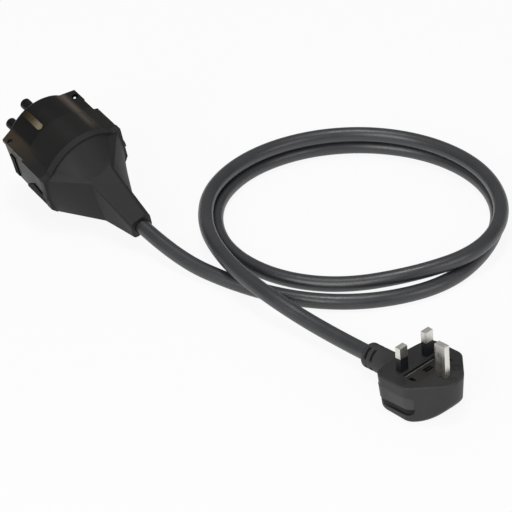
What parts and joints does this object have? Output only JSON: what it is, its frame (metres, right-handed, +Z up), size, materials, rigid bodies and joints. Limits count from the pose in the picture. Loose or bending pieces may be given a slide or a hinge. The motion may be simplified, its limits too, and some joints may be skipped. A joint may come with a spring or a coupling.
{
  "type": "three pin plug mains lead",
  "caption": "Moulded flat three pin mains plug with fuse carrier, lying on its back, with its cord in loose turns and a hooded round coupler at the far end.",
  "frame": {"origin": "bottom centre of the plug's box, on the surface that its back rests on", "axes": "+Z up, out of the plug's pin face; -Y towards the earth pin's end; +Y the way the cord leaves; +X towards the line pin"},
  "size_m": [0.2547, 0.4047, 0.071],
  "materials": {
    "plug_black": "satin charcoal moulding with a fine grain",
    "pin_nickel": "bright nickel plate on brass",
    "sleeve_black": "smooth black nylon",
    "carrier_black": "smooth black nylon",
    "bridge_grey": "plain nylon moulding",
    "fuse_ceramic": "glazed white ceramic",
    "fuse_metal": "nickel plate",
    "fuse_wire_metal": "tinned wire",
    "clip_copper": "spring copper alloy",
    "crimp_tin": "tin plate",
    "core_brown": "brown core insulation",
    "core_blue": "blue core insulation",
    "core_green_yellow": "green and yellow core insulation",
    "cord_black": "soft satin sheath",
    "hood_black": "satin charcoal moulding with a fine grain",
    "front_black": "smooth glossy black",
    "insert_black": "smooth black nylon",
    "post_black": "smooth glossy black",
    "catch_black": "deep black",
    "strip_brass": "dulled brass",
    "contact_brass": "plain brass"
  },
  "bodies": {
    "root": {"plug_body": "plug_black", "line_pin": "pin_nickel", "neutral_pin": "pin_nickel", "earth_pin": "pin_nickel", "line_sleeve": "sleeve_black", "neutral_sleeve": "sleeve_black", "fuse_carrier": "carrier_black", "pin_bridge": "bridge_grey", "fuse_tube": "fuse_ceramic", "fuse_cap_line": "fuse_metal", "fuse_cap_load": "fuse_metal", "fuse_wire": "fuse_wire_metal", "line_clip": "clip_copper", "load_clip": "clip_copper", "line_crimp": "crimp_tin", "neutral_crimp": "crimp_tin", "earth_crimp": "crimp_tin", "line_core": "core_brown", "neutral_core": "core_blue", "earth_core": "core_green_yellow", "power_cord": "cord_black", "coupler_hood": "hood_black", "coupler_front": "front_black", "contact_insert": "insert_black", "earth_strip": "strip_brass", "front_catch_right": "catch_black", "front_catch_left": "catch_black", "rear_catch_right": "catch_black", "rear_catch_left": "catch_black", "line_post": "post_black", "neutral_post": "post_black", "line_contact": "contact_brass", "neutral_contact": "contact_brass", "line_lead": "core_brown", "neutral_lead": "core_blue", "earth_lead": "core_green_yellow"}
  },
  "joints": []
}
